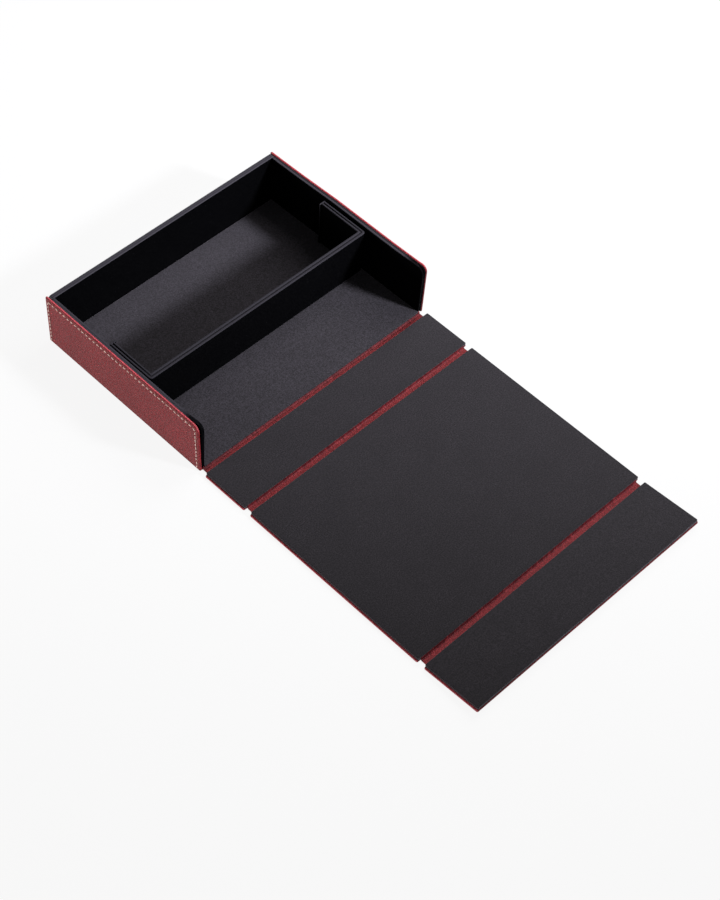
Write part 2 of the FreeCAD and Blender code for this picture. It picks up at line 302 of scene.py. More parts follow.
def board(name, size, thickness, radii, place, material, *, step, edge_steps, face_round, back_round,
          relief=None, grooves=(), edge_marks=None, shape=None, **piece):
    """A covered board: a gridded face with relief, rounded edges all round, and a flat back.

    size is (u, v); radii are its corners' radii, from (0, 0) round by (u, 0); place maps (u, v, w) to
    the part's frame, with w out of the face; relief(u, v, depth) gives (height, painted shade) on the
    face; grooves run round the edge, each as (w, depth, half width), with painted shade in their
    bottoms; edge_marks(normal, w) gives (painted shade, painted highlight) there; and shape(point)
    moves a placed point.
    """
    us = side_lines(size[0], step, edge_steps)
    vs = side_lines(size[1], step, edge_steps)
    points, painted_shade, outward = [], [], []
    for v in vs:
        for u in us:
            (x, y), normal, depth = plan_point(u, v, size, radii, face_round)
            height, dark = relief(x, y, depth) if relief else (0.0, 0.0)
            points.append((x, y, thickness + height))
            painted_shade.append(dark)
            outward.append(normal)
    painted_highlight = [0.0] * len(points)
    nu, nv = len(us), len(vs)
    faces = [
        (j * nu + i, j * nu + i + 1, (j + 1) * nu + i + 1, (j + 1) * nu + i)
        for j in range(nv - 1) for i in range(nu - 1)
    ]
    loop = list(range(nu))
    loop += [j * nu + nu - 1 for j in range(1, nv)]
    loop += [(nv - 1) * nu + i for i in range(nu - 2, -1, -1)]
    loop += [j * nu for j in range(nv - 2, 0, -1)]
    count = len(loop)

    before = loop
    for offset, w, grooved in edge_rings(thickness, face_round, back_round, grooves):
        ring = []
        for index in loop:
            x, y, _ = points[index]
            normal = outward[index]
            # edge marks: painted shade and painted highlight by the way the edge faces; a groove's bottom gets
            # full painted shade
            dark, bright = edge_marks(normal, w) if edge_marks else (0.0, 0.0)
            ring.append(len(points))
            points.append((x + normal[0] * offset, y + normal[1] * offset, w))
            painted_shade.append(1.0 if grooved else dark)
            painted_highlight.append(bright)
        faces += [
            (before[k], ring[k], ring[(k + 1) % count], before[(k + 1) % count]) for k in range(count)
        ]
        before = ring
    faces.append(tuple(reversed(before)))
    placed = [place @ Vector(point) for point in points]
    if shape:
        placed = [shape(point) for point in placed]
    marks = {"painted_shade": painted_shade, "painted_highlight": painted_highlight}
    return mesh_piece(name, placed, faces, material, attributes=marks, **piece)


def facing(origin, along, up, out):
    """Matrix that puts a board's (u, v, w) at origin, with u, v and w along three directions."""
    columns = Matrix((along, up, out)).transposed().to_4x4()
    return Matrix.Translation(origin) @ columns


def side_face(low, high, looks_right, foot, front, back):
    """Radii and place of an upright board along one side, for the radii of its foot and top corners."""
    if looks_right:
        return (foot, foot, back, front), facing(low, Y, Z, X)
    return (foot, foot, front, back), facing((high.x, high.y, low.z), -Y, Z, -X)


def splay(y):
    """How far the right side stands out at its top, straight between the places in SPLAY."""
    return float(np.interp(y, *zip(*SPLAY)))


def splayed(point):
    """The right side as photographed: the loose divider holds it outwards, all but its back corner."""
    x, y, z = point
    upward = SPLAY_AT_FOOT + (1 - SPLAY_AT_FOOT) * z / SPLAY_HEIGHT
    return Vector((x + share_of(x, *SPLAY_ZONE) * splay(y) * upward, y, z))


def sloped(point):
    """The left panel as photographed: its front edge slopes back towards the top."""
    x, y, z = point
    back = FRONT_SLOPE * z / FRONT_HEIGHT - FRONT_FOOT
    return Vector((x, y + share_of(y, *SLOPE_ZONE) * back, z))


def curled(point):
    """The left wall's layers as photographed: their front top corner curls inwards."""
    x, y, z = point
    return Vector((x + FRONT_CURL * share_of(y, *CURL_ZONE) ** 2 * z / FRONT_HEIGHT, y, z))


PANEL_SHAPES = {"left": sloped, "right": splayed}
WALL_SHAPES = {"left": curled, "right": splayed}


def edge_light_marks(bright, reach, dark):
    """Marks of a panel's edge: a painted highlight on its top up to w = reach, least inside, and painted shade on
    its two ends.
    """
    def marks(normal, w):
        share = 0.0 if w > reach else INNER_HIGHLIGHT if w < INNER_HIGHLIGHT_DEPTH else 1.0
        return dark * abs(normal[0]), bright * share * max(0.0, normal[1])
    return marks


def flap_edge_shading(normal, w):
    """Marks of a flap cover's edge: painted shade on its far end, and a painted highlight on its left end."""
    return COVER_EDGE_SHADE * max(0.0, normal[1]), max(0.0, -normal[0])


def sleeve(rings, count):
    """Faces that join rings of count points each into a closed sleeve, with both its ends capped."""
    faces = []
    for k in range(rings - 1):
        for n in range(count):
            m = (n + 1) % count
            faces.append((k * count + n, k * count + m, (k + 1) * count + m, (k + 1) * count + n))
    last = (rings - 1) * count
    return faces + [tuple(reversed(range(count))), tuple(range(last, last + count))]


def joined(*solids):
    """One list of points and one of faces from several (points, faces)."""
    points, faces = [], []
    for more_points, more_faces in solids:
        faces += [tuple(index + len(points) for index in face) for face in more_faces]
        points += more_points
    return points, faces


def twisted_thread(path):
    """Points and faces of a closed, tapered tube along a path, with two plies twisted round it."""
    points = []
    for k, centre in enumerate(path):
        ahead = path[min(k + 1, len(path) - 1)] - path[max(k - 1, 0)]
        ahead.normalize()
        side = ahead.cross(X if abs(ahead.x) < 0.8 else Y).normalized()
        other = ahead.cross(side)
        from_end = min(k, len(path) - 1 - k)
        radius = THREAD_RADIUS * THREAD_TAPER[min(from_end, 2)]
        for n in range(THREAD_SIDES):
            angle = 2 * math.pi * n / THREAD_SIDES
            r = radius * (1 + THREAD_PLY * math.cos(2 * (angle - THREAD_TWIST * k)))
            points.append(centre + side * (r * math.cos(angle)) + other * (r * math.sin(angle)))
    return points, sleeve(len(path), THREAD_SIDES)


# ------------------------------ materials

class Paint:
    """A procedural material in the making: its nodes, and its shader's sockets."""

    def __init__(self, name):
        self.material = bpy.data.materials.new(name)
        self.material.use_nodes = True
        self.tree = self.material.node_tree
        self.shader = self.tree.nodes["Principled BSDF"]
        self.place = self.node("ShaderNodeTexCoord").outputs["Object"]

    def node(self, kind, settings=None, **inputs):
        node = self.tree.nodes.new(kind)
        for name, value in (settings or {}).items():
            setattr(node, name, value)
        for name, value in inputs.items():
            self.feed(node.inputs[name.replace("_", " ")], value)
        return node

    def feed(self, socket, value):
        if isinstance(value, bpy.types.NodeSocket):
            self.tree.links.new(value, socket)
        else:
            socket.default_value = value

    def noise(self, size, detail, roughness=0.5, place=None, output="Fac"):
        """Noise with features about size millimetres across."""
        return self.node(
            "ShaderNodeTexNoise", Vector=place or self.place, Scale=1 / (size * MM), Detail=detail,
            Roughness=roughness,
        ).outputs[output]

    def ramp(self, value, low, high, to_low=0.0, to_high=1.0):
        """The value's stretch from low to high, mapped smoothly to another range."""
        node = self.node("ShaderNodeMapRange", {"interpolation_type": "SMOOTHSTEP"})
        for name, number in (("From Min", low), ("From Max", high), ("To Min", to_low), ("To Max", to_high)):
            node.inputs[name].default_value = number
        self.feed(node.inputs["Value"], value)
        return node.outputs["Result"]

    def maths(self, operation, a, b):
        node = self.node("ShaderNodeMath", {"operation": operation})
        self.feed(node.inputs[0], a)
        self.feed(node.inputs[1], b)
        return node.outputs[0]

    def vector(self, operation, *values):
        """Result of a vector operation on values or sockets."""
        node = self.node("ShaderNodeVectorMath", {"operation": operation})
        for socket, value in zip(node.inputs, values):
            self.feed(socket, value)
        return node.outputs[0]

    def mix(self, share, a, b):
        """Colours a and b mixed by share."""
        node = self.node("ShaderNodeMix", {"data_type": "RGBA"})
        self.feed(node.inputs["Factor"], share)
        self.feed(node.inputs[6], a)
        self.feed(node.inputs[7], b)
        return node.outputs[2]

    def marked(self, mark, weight, colour, marked_colour):
        """The colour, mixed with another where the mesh has this mark, by the weight."""
        return self.mix(self.maths("MULTIPLY", self.attribute(mark), weight), colour, marked_colour)

    def attribute(self, name):
        return self.node("ShaderNodeAttribute", {"attribute_name": name}).outputs["Fac"]

    def bump(self, height, distance, strength, under=None):
        """Normal for a height in millimetres, over another bump's normal where one is given."""
        node = self.node("ShaderNodeBump", Height=height, Distance=distance * MM, Strength=strength)
        if under:
            self.feed(node.inputs["Normal"], under)
        return node.outputs["Normal"]

    def finish(self, colour, roughness, normal=None, **values):
        """The finished material, with its shader's other values by name."""
        self.feed(self.shader.inputs["Base Color"], colour)
        self.feed(self.shader.inputs["Roughness"], roughness)
        if normal:
            self.feed(self.shader.inputs["Normal"], normal)
        for name, value in values.items():
            self.shader.inputs[name.replace("_", " ")].default_value = value
        return self.material


def srgb(red, green, blue):
    """A colour given in 0..255 screen values, as the linear RGBA that Blender's sockets take."""
    def linear(value):
        value /= 255
        return value / 12.92 if value <= 0.04045 else ((value + 0.055) / 1.055) ** 2.4
    return (linear(red), linear(green), linear(blue), 1.0)


# lighter red painted on leatherette edges as a painted highlight
HIGHLIGHT_RED = srgb(214, 91, 101)
# grey painted on suede as painted light on tops and towards the floor's back
PAINTED_LIGHT_GREY = srgb(66, 64, 70)
DUST_GREY = srgb(104, 102, 108)
# near black painted on suede as painted shade
SHADE_BLACK = srgb(10, 10, 11)
SHEEN_TINT = (0.97, 0.90, 1.0, 1.0)

PEBBLE_SIZE = 1.05               # mm, for a grain of 1
PEBBLE_WARP_SIZE = 2.5           # mm, of the noise that bends the pebbles' outlines
PEBBLE_WARP = 1.1                # mm, how far it bends them
TUCK_SIZE = 1.5                  # mm
TUCK_STRETCH = (1.0, 0.2, 0.2)   # tucks run five times as long across the fold
LEATHER_SHADE = 0.78            # how much the painted shade mark darkens leatherette
LEATHER_HIGHLIGHT = 0.8                # how much the painted highlight mark lightens it
SUEDE_LIGHT = 0.85                # how much the painted light mark greys suede
SUEDE_SHADE = 0.7               # how much the painted shade mark darkens it
DUST_SPACING = 7.0               # mm


def leatherette(name, base, dark, light, *, grain, depth, gloss, pits, gathers=0.0):
    """Pebbled, slightly shiny leatherette: domed pebbles, creases between them, soft mottling.

    grain is the pebbles' size and depth the height of their domes in millimetres; pits is how dark it
    gets between them. The painted shade mark darkens it, and where that mark is high, gathers sets how
    dark the fine tucks drawn across it are, painted shade of small wrinkles. The painted highlight mark
    lightens it.
    """
    paint = Paint(name)
    warp = paint.noise(PEBBLE_WARP_SIZE, 2.0, output="Color")
    reach = (PEBBLE_WARP * MM,) * 3
    pebble = paint.node(
        "ShaderNodeTexVoronoi", {"feature": "SMOOTH_F1"},
        Vector=paint.vector("MULTIPLY_ADD", warp, reach, paint.place),
        Scale=1 / (PEBBLE_SIZE * grain * MM), Smoothness=0.35, Randomness=0.9,
    ).outputs["Distance"]
    dome = paint.ramp(pebble, 0.15, 0.75, 1.0, 0.0)
    fine = paint.noise(0.35, 3.0, 0.65)
    mottle = paint.noise(2.6, 3.0, 0.6)
    broad = paint.noise(38.0, 2.0)
    between = paint.ramp(dome, 0.0, 0.75, 1.0, 0.0)
    colour = paint.mix(paint.ramp(mottle, 0.3, 0.7), base, light)
    colour = paint.mix(paint.maths("MULTIPLY", between, pits), colour, dark)
    colour = paint.mix(paint.ramp(broad, 0.35, 0.7, 0.0, 0.14), colour, dark)
    # painted shade: darker where the painted shade mark is
    colour = paint.marked("painted_shade", LEATHER_SHADE, colour, dark)
    # fine dark tucks across the painted shade, painted shade of small wrinkles
    tucks = paint.noise(TUCK_SIZE, 1.0, place=paint.vector("MULTIPLY", paint.place, TUCK_STRETCH))
    in_shade = paint.ramp(paint.attribute("painted_shade"), 0.05, 0.5)
    tucks = paint.maths("MULTIPLY", paint.ramp(tucks, 0.42, 0.58), in_shade)
    colour = paint.mix(paint.maths("MULTIPLY", tucks, gathers), colour, dark)
    # painted highlight: lighter red where the painted highlight mark is
    colour = paint.marked("painted_highlight", LEATHER_HIGHLIGHT, colour, HIGHLIGHT_RED)
    normal = paint.bump(fine, 0.03, 0.5, under=paint.bump(dome, depth, 0.8))
    return paint.finish(colour, paint.ramp(fine, 0.3, 0.7, 0.5, 0.66), normal, Specular_IOR_Level=gloss)


def suede(name, base, dark, light, *, speck=0.15, gloss=0.1, sheen=0.0):
    """Short-napped suede paper: a fine salt and pepper nap over a soft mottling, with rare dust."""
    paint = Paint(name)
    nap = paint.noise(1.0, 2.0, 0.75)
    tuft = paint.noise(2.6, 2.0, 0.6)
    cloud = paint.noise(24.0, 3.0, 0.55)
    colour = paint.mix(paint.ramp(nap, 0.36, 0.64), dark, light)
    colour = paint.mix(paint.ramp(tuft, 0.35, 0.65, 0.0, 0.3), colour, base)
    colour = paint.mix(paint.ramp(cloud, 0.35, 0.7, 0.0, 0.15), colour, dark)
    dust = paint.node(
        "ShaderNodeTexVoronoi", {"feature": "F1"}, Vector=paint.place, Scale=1 / (DUST_SPACING * MM),
    ).outputs["Distance"]
    colour = paint.mix(paint.ramp(dust, 0.03, 0.075, speck, 0.0), colour, DUST_GREY)
    # painted light: greyer where the painted light mark is
    colour = paint.marked("painted_light", SUEDE_LIGHT, colour, PAINTED_LIGHT_GREY)
    # painted shade: near black where the painted shade mark is
    colour = paint.marked("painted_shade", SUEDE_SHADE, colour, SHADE_BLACK)
    normal = paint.bump(nap, 0.15, 0.8, under=paint.bump(tuft, 0.08, 0.5))
    return paint.finish(
        colour, paint.ramp(nap, 0.3, 0.7, 0.62, 0.82), normal, Specular_IOR_Level=gloss,
        Sheen_Weight=sheen, Sheen_Roughness=0.5, Sheen_Tint=SHEEN_TINT,
    )


def thread_material():
    paint = Paint("cream_thread")
    fibre = paint.noise(0.22, 3.0, 0.6)
    stain = paint.noise(6.0, 2.0)
    colour = paint.mix(paint.ramp(fibre, 0.3, 0.7), srgb(246, 204, 192), srgb(255, 222, 211))
    colour = paint.mix(paint.ramp(stain, 0.45, 0.75, 0.0, 0.2), colour, srgb(190, 140, 132))
    return paint.finish(colour, 0.8, paint.bump(fibre, 0.05, 0.6))


def greyboard_material():
    paint = Paint("greyboard")
    fibre = paint.noise(0.5, 4.0, 0.7)
    streak = paint.noise(4.0, 3.0, 0.6)
    colour = paint.mix(paint.ramp(fibre, 0.3, 0.7), srgb(38, 37, 36), srgb(64, 62, 60))
    colour = paint.mix(paint.ramp(streak, 0.35, 0.7, 0.0, 0.4), colour, srgb(48, 46, 44))
    return paint.finish(colour, 0.95, paint.bump(fibre, 0.05, 0.6))


def magnet_material():
    paint = Paint("nickel_plate")
    brushed = paint.noise(0.3, 3.0, 0.6)
    colour = paint.mix(brushed, srgb(150, 149, 150), srgb(190, 189, 188))
    return paint.finish(colour, paint.ramp(brushed, 0.2, 0.8, 0.25, 0.45), Metallic=1.0)


panel_red = leatherette(
    "red_leatherette", srgb(144, 33, 39), srgb(68, 9, 14), srgb(162, 46, 52),
    grain=1.12, depth=0.34, gloss=0.3, pits=0.6,
)
fold_red = leatherette(
    "fold_leatherette", srgb(160, 51, 57), srgb(56, 9, 14), srgb(177, 64, 70),
    grain=1.0, depth=0.22, gloss=0.2, pits=0.45, gathers=0.55,
)
floor_suede = suede("black_suede_floor", srgb(18, 17, 19), srgb(0, 0, 0), srgb(48, 45, 51), sheen=0.45)
# a darker copy of the floor's suede, as painted shade: the flaps lie further from the light
flap_suede = suede("black_suede_flaps", srgb(17, 16, 18), srgb(0, 0, 0), srgb(42, 39, 42), sheen=0.36)
# the same suede made near black, as painted shade on faces that get little light
shaded_suede = suede("black_suede_painted_shade", srgb(3, 3, 4), srgb(1, 1, 2), srgb(7, 7, 8), speck=0.05, gloss=0.02)
thread = thread_material()
greyboard = greyboard_material()
nickel = magnet_material()

SLOT_MATERIALS = {
    "red_leatherette": panel_red, "black_suede": floor_suede, "greyboard": greyboard,
    "cream_thread": thread, "magnet": nickel,
}
for part in frame["record"]["subparts"]:
    mesh = frame["nodes"][part["node"]].data
    mesh.materials.clear()
    mesh.materials.append(SLOT_MATERIALS[part["material_slot"]])


# ------------------------------ side panels and their stitching

panel_low, panel_high = span("left_side_panel")


def stitch_places():
    """Each stitch as (y, z, angle): up the back edge, along the top and down the front edge."""
    front, back = panel_low.y + STITCH_INSET, panel_high.y - STITCH_INSET
    top = panel_high.z - STITCH_INSET
    bend = PANEL_CORNER - STITCH_INSET
    corner = bend * (1 - math.sqrt(0.5))
    foot = panel_low.z + 0.5 * STITCH_INSET
    places = []

    def row(start, end, angle):
        count = round(math.dist(start, end) / STITCH_PITCH)
        for k in range(count):
            share = (k + 0.5) / count
            y = start[0] + (end[0] - start[0]) * share
            z = start[1] + (end[1] - start[1]) * share
            places.append((y, z, angle))

    row((back, foot), (back, top), 90)
    row((back, top), (front + bend, top), 180)
    places.append((front + corner, top - corner, 225))
    row((front, top - bend), (front, foot), 270)
    return places


STITCHES = stitch_places()
HOLES = np.array([
    (y + end * 0.5 * STITCH_PITCH * math.cos(math.radians(angle)),
     z + end * 0.5 * STITCH_PITCH * math.sin(math.radians(angle)))
    for y, z, angle in STITCHES for end in (-1, 1)
])


def side_panel(side):
    """Leatherette over a board: a seam sunk by the stitching, and puckers at its holes with painted shade."""
    left = side == "left"
    low, high = span(side + "_side_panel")

    def relief(u, v, depth):
        y, z = (high.y - u if left else low.y + u), low.z + v
        at_foot = v <= SEAM_END or depth == v
        seam = 0.0 if at_foot else math.exp(-((depth - STITCH_INSET) / SEAM_REACH) ** 2)
        nearest = np.min((HOLES[:, 0] - y) ** 2 + (HOLES[:, 1] - z) ** 2)
        pucker = seam * math.exp(-nearest / PUCKER_SPREAD)
        height = SWELL * share_of(depth, STITCH_INSET, STITCH_INSET + SWELL_REACH)
        height -= SEAM_PRESS * seam + PUCKER_PRESS * pucker
        for size, amplitude, place in PANEL_WAVES:
            height += wave((y, z, place * left), size, amplitude)
        # the second value is painted shade in the puckers at the stitch holes
        return height * share_of(depth, FACE_ROUND, 2 * FACE_ROUND), PUCKER_SHADE * pucker

    radii, place = side_face(low, high, not left, PANEL_FOOT_CORNER, PANEL_CORNER, PANEL_BACK_CORNER)
    board(
        side + "_panel_leather", (high.y - low.y, high.z - low.z), high.x - low.x, radii, place, panel_red,
        step=STITCH_PITCH / 6, edge_steps=(0.5, 1.0, 1.7, 2.4, 3.1, 3.8, 4.5, 5.2, 6.0),
        face_round=FACE_ROUND, back_round=PANEL_BACK_ROUND, relief=relief,
        edge_marks=edge_light_marks(*EDGE_LIGHT_AND_SHADE[side]), shape=PANEL_SHAPES[side],
        body="tray", replaces=[side + "_side_panel"], slot="red_leatherette",
    )


def stitching(side):
    """Twisted thread: one short bowed tube for each stitch, its ends sunk in the seam's holes."""
    out = -X if side == "left" else X
    low, high = span(side + "_side_panel")
    face = low.x if side == "left" else high.x
    chance = random.Random(SEED)
    threads = []
    for y, z, angle in STITCHES:
        turn = math.radians(angle + chance.uniform(-STITCH_TURN, STITCH_TURN) + STITCH_SLANT)
        along = Vector((0, math.cos(turn), math.sin(turn)))
        shifted_y = y + chance.uniform(-STITCH_SHIFT, STITCH_SHIFT)
        shifted_z = z + chance.uniform(-STITCH_SHIFT, STITCH_SHIFT)
        middle = Vector((face, shifted_y, shifted_z))
        half = STITCH_LENGTH / 2 * chance.uniform(*STITCH_STRETCH)
        path = []
        for k in range(2 * THREAD_HALF_STEPS + 1):
            share = k / THREAD_HALF_STEPS - 1
            bow = STITCH_BOW * (1 - share ** 2) - STITCH_SINK * share ** 8
            path.append(PANEL_SHAPES[side](middle + along * (half * share) + out * bow))
        threads.append(twisted_thread(path))
    points, faces = joined(*threads)
    mesh_piece(
        side + "_thread", points, faces, thread, body="tray", replaces=[side + "_stitching"],
        slot="cream_thread",
    )


for side in ("left", "right"):
    side_panel(side)
    stitching(side)


# ------------------------------ walls and floor

def soft_relief(height, seed):
    """Relief of a lined board: a slight unevenness that dies out at the edges."""
    def relief(u, v, depth):
        return share_of(depth, 0.0, RELIEF_FADE) * wave((u, v, seed), RELIEF_SIZE, height), 0.0
    return relief


def mark_painted_light(piece, painted_light):
    """Gives a piece a painted light mark, from a function of place in millimetres, 0 to 1."""
    mesh = piece.data
    values = [painted_light(vertex.co / MM) for vertex in mesh.vertices]
    mesh.attributes.new("painted_light", "FLOAT", "POINT").data.foreach_set("value", values)


def side_wall(side):
    """Two layers of suede made near black with painted shade: one against the side panel, and one whose front
    corner is cut lower.
    """
    left = side == "left"
    low, high = span(side + "_wall_wrap")
    for layer, start, thickness, corner, inset, most_light in (
        ("outer", 0.0, WALL_LAYER, PANEL_CORNER, 0.0, 1.0 if left else RIGHT_OUTER_LIGHT),
        ("inner", WALL_LAYER, high.x - low.x - WALL_LAYER, WALL_INNER_CORNER, WALL_INNER_INSET, 1.0),
    ):
        radii, place = side_face(low, high, left, WALL_EDGE, corner, WALL_EDGE)
        wall = board(
            f"{side}_wall_{layer}", (high.y - low.y - inset, high.z - low.z), thickness, radii,
            place @ Matrix.Translation((inset if left else 0.0, 0, start)), shaded_suede,
            step=5.0, edge_steps=(0.35, 0.7, 1.5, 3.0, 4.5, 6.0, 7.5), face_round=0.35, back_round=0.3,
            relief=soft_relief(WALL_WAVE, 5.0 + left), shape=WALL_SHAPES[side],
            body="tray", replaces=[side + "_wall_wrap"], slot="black_suede",
        )

        # painted light on the wall's top rim, growing towards the back
        def rim_light(p):
            if p.z <= high.z - RIM_DEPTH:
                return 0.0
            return most_light * max(LEAST_RIM_LIGHT, share_of(p.y, *RIM_LIGHT_ZONE))

        mark_painted_light(wall, rim_light)


def wall_board(side):
    """A side wall's board, which follows the wall round it and keeps inside its rounded corner."""
    low, high = span(side + "_wall_core")
    radii, place = side_face(low, high, side == "left", BOARD_EDGE, BOARD_CORNER, BOARD_EDGE)
    board(
        side + "_wall_board", (high.y - low.y, high.z - low.z), high.x - low.x, radii, place, greyboard,
        step=6.0, edge_steps=(0.5, 2.0, 4.0), face_round=0.1, back_round=0.1, shape=WALL_SHAPES[side],
        body="tray", replaces=[side + "_wall_core"], slot="greyboard",
    )


def back_wall():
    """Thick wall, near black with painted shade; its wrapping's two seams run round its edge as shaded grooves."""
    low, high = span("back_wall_wrap")
    wall = board(
        "back_wall_suede", (high.x - low.x, high.z - low.z), high.y - low.y + BACK_WALL_EXTRA,
        BACK_WALL_CORNERS, facing((low.x, high.y + BACK_WALL_EXTRA, low.z), X, Z, -Y), shaded_suede,
        step=5.0, edge_steps=(0.35, 0.7, 1.5, 3.0), face_round=0.6, back_round=0.6,
        relief=soft_relief(WALL_WAVE, 8.0), grooves=BACK_WALL_GROOVES,
        body="tray", replaces=["back_wall_wrap"], slot="black_suede",
    )
    # painted light on the back wall's top rim
    mark_painted_light(wall, lambda p: 1.0 if p.z > high.z - BACK_RIM_DEPTH else 0.0)


def floor_lining():
    """Suede sheet on the tray's floor, with painted light a little towards its back."""
    low, high = span("floor_lining")
    lining = board(
        "floor_suede", (high.x - low.x, high.y - low.y), high.z - low.z, (FLOOR_CORNER,) * 4,
        facing(low, X, Y, Z), floor_suede,
        step=6.0, edge_steps=(0.3, 0.6, 1.5, 3.0), face_round=0.4, back_round=0.2,
        relief=soft_relief(FLOOR_WAVE, 12.0), shape=splayed,
        body="tray", replaces=["floor_lining"], slot="black_suede",
    )
    mark_painted_light(lining, lambda p: FLOOR_LIGHT * share_of(p.y, *FLOOR_LIGHT_ZONE))


for side in ("left", "right"):
    side_wall(side)
    wall_board(side)
back_wall()
floor_lining()


# ------------------------------ flaps

closing_joint = next(joint for joint in frame["joints"] if joint["name"] == "closing_flap_fold")
CLOSING_AXIS = Vector(closing_joint["pos_m"]) / MM
REST_TURN = (
    Matrix.Translation(CLOSING_AXIS)
    @ Matrix.Rotation(math.radians(CLOSING_REST_ANGLE), 4, Vector(closing_joint["axis"]))
    @ Matrix.Translation(-CLOSING_AXIS)
)


def lined_relief(seed):
    """Relief of a flap's lining: slight unevenness, the turned-over edge's seam and a falling rim, both with
    painted shade.
    """
    def relief(u, v, depth):
        seam = math.exp(-((depth - TURNED_SEAM) / TURNED_SEAM_REACH) ** 2)
        rim = 1.0 - share_of(depth, 0.0, LINING_RIM)
        height = share_of(depth, 0.0, LINING_WAVE_FADE) * wave((u, v, seed), LINING_WAVE_SIZE, LINING_WAVE)
        height -= TURNED_SEAM_PRESS * seam + LINING_RIM_FALL * rim * rim
        return height, TURNED_SEAM_SHADE * seam + LINING_RIM_SHADE * rim
    return relief


def flap(name, near_y, far_y, far_margin, turn, seed):
    """A flap's leatherette cover and its suede lining."""
    half = span("lid_cover")[1].x + FLAP_SIDE_EXTRA
    inner = half - COVER_SIDE_MARGIN
    board(
        name + "_leather", (2 * half, near_y - far_y + far_margin), COVER_THICKNESS, (COVER_CORNER,) * 4,
        turn @ facing((-half, near_y, COVER_THICKNESS), X, -Y, -Z), panel_red,
        step=6.0, edge_steps=(0.6, 1.2, 2.5, 4.0), face_round=0.4, back_round=0.4,
        relief=soft_relief(COVER_WAVE, seed), edge_marks=flap_edge_shading,
        body=name, replaces=[name + "_cover"], slot="red_leatherette",
    )
    board(
        name + "_suede", (2 * inner, near_y - far_y), FLAP_THICKNESS - COVER_THICKNESS, (LINING_CORNER,) * 4,
        turn @ facing((LINING_SHIFT - inner, far_y, COVER_THICKNESS), X, Y, Z), flap_suede,
        step=6.0, edge_steps=(0.4, 0.8, 1.1, 1.3, 1.45, 1.6, 1.8, 2.2, 3.0, 5.0),
        face_round=0.45, back_round=0.25, relief=lined_relief(seed + 0.5), grooves=[LINING_GROOVE],
        body=name, replaces=[name + "_lining"], slot="black_suede",
    )


STILL = Matrix.Identity(4)
front_flap_low, front_flap_high = span("front_flap_cover")
lid_low, lid_high = span("lid_cover")
closing_near = lid_low.y - FOLD_GAP
closing_far = closing_near - CLOSING_FLAP_LENGTH - CLOSING_FLAP_EXTRA
flap("front_flap", front_flap_high.y, front_flap_low.y, 0.0, STILL, 21.0)
flap("lid", lid_high.y, lid_low.y, 0.0, STILL, 33.0)
flap("closing_flap", closing_near, closing_far, COVER_FAR_MARGIN, REST_TURN, 47.0)


# ------------------------------ leatherette through the folds

def smooth_path(corners):
    """Corner-cut polyline through (y, z) corners, with its two ends kept."""
    path = [Vector(corner) for corner in corners]
    for _ in range(PATH_ROUNDS):
        cut = [path[0]]
        for a, b in zip(path, path[1:]):
            cut += [a.lerp(b, 0.25), a.lerp(b, 0.75)]
        path = cut + [path[-1]]
    return path


def skin_section(near, far, climb, rise):
    """Outline of a fold's skin as (y, z): its upper side from near to far, and its lower side back."""
    t = SKIN_THICKNESS
    centre = smooth_path([
        # down the previous board's edge
        (near - 0.35 * t, climb), (near - 0.5 * t, 1.6), (near - 0.7 * t - 0.35, 0.5 * t + 0.16),
        # along the table
        (near - 2.6, 0.5 * t + 0.10), (far + 2.0, 0.5 * t + 0.10), (far + 0.6, 0.5 * t + 0.12),
        # up the next flap's edge
        (far + 0.45 * t, 0.5 * t + 0.5), (far + 0.4 * t, rise),
    ])
    upper, lower = [], []
    for k, point in enumerate(centre):
        ahead = (centre[min(k + 1, len(centre) - 1)] - centre[max(k - 1, 0)]).normalized()
        up = Vector((ahead.y, -ahead.x))
        upper.append(point + up * (t / 2))
        lower.append(point - up * (t / 2))
    return upper + lower[::-1]


def fold_skin(name, node, climb, rise, shade, climb_shade=0.0):
    """Leatherette that runs down the previous board's edge, along the table and up to the next flap.

    climb is how high it reaches on the previous board, and rise on the next flap; painted shade under
    the previous board reaches shade out of it, the last argument paints shade on the climb itself, and
    painted shade also darkens the skin next to the next flap.
    """
    low, high = span(node)
    near, far = high.y, high.y - FOLD_GAP
    section = skin_section(near, far, climb, rise)
    half = high.x + FLAP_SIDE_EXTRA
    points, painted_shade = [], []
    for k in range(SKIN_COLUMNS + 1):
        x = -half + 2 * half * k / SKIN_COLUMNS
        for y, z in section:
            (size, height), (fine_size, fine_height) = SKIN_WAVES
            lift = wave((x, y, z + near), size, height) + wave((x, y, near), fine_size, fine_height)
            points.append((x, y + SKIN_SIDEWAYS * lift, max(SKIN_LEAST_HEIGHT, z + lift)))
            # painted shade on the climb, next to the next flap, and under the previous board
            if y > near - SKIN_CLIMB_REACH:
                edge_shade = climb_shade * share_of(z, *SKIN_CLIMB_ZONE)
            else:
                edge_shade = SKIN_FAR_SHADE * share_of(y, far + SKIN_FAR_ZONE[0], far + SKIN_FAR_ZONE[1])
            under = share_of(y, near - shade, near - SKIN_SHADE_END)
            painted_shade.append(min(1.0, edge_shade + under * (1.0 + wave((x, 0.4 * y, near), *SKIN_SHADE_WAVE))))
    piece = mesh_piece(
        name, points, sleeve(SKIN_COLUMNS + 1, len(section)), fold_red, replaces=[node],
        slot="red_leatherette", attributes={"painted_shade": painted_shade},
    )
    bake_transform(piece)


fold_skin("front_fold_leather", "front_hinge_strip", 1.7, 1.5, 3.3, climb_shade=1.0)
fold_skin("lid_fold_leather", "lid_hinge_strip", 3.0, 1.5, 2.4)
fold_skin("closing_fold_leather", "closing_hinge_strip", 3.0, 1.5, 2.3)


# ------------------------------ divider

